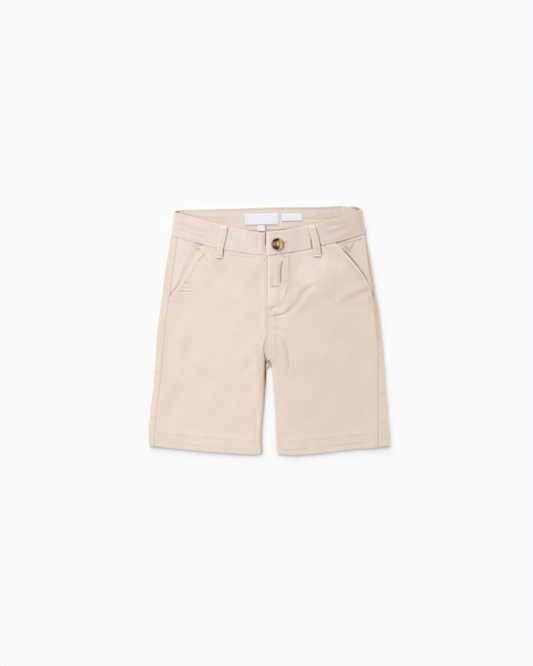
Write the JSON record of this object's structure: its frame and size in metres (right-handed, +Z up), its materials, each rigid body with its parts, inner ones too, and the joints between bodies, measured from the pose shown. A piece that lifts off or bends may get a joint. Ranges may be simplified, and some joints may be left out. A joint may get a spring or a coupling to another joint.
{
  "type": "bermuda shorts",
  "caption": "Boys' beige cotton twill bermuda shorts laid flat on their back, with slanting front pockets, belt loops and a buttoned waistband.",
  "frame": {"origin": "middle of the bounding box seen from above, on the surface that the shorts lie on", "axes": "+Y from the hems to the waist, +X to the wearer's left, +Z up, away from the surface"},
  "size_m": [0.3491, 0.3617, 0.0109],
  "materials": {
    "twill": "matt piece-dyed cotton twill, washed, light beige",
    "twill_inside": "the same twill where it lies deeper and looks a little darker",
    "button_horn": "polished polyester that imitates brown horn",
    "label_tape": "plain white woven satin tape"
  },
  "bodies": {
    "root": {"back_left": "twill", "back_right": "twill", "belt_loop_left": "twill", "belt_loop_right": "twill", "button": "button_horn", "front_left": "twill", "front_right": "twill", "label_care": "label_tape", "label_main": "label_tape", "label_size": "label_tape", "pocket_facing_left": "twill_inside", "pocket_facing_right": "twill_inside", "waistband": "twill"}
  },
  "joints": []
}
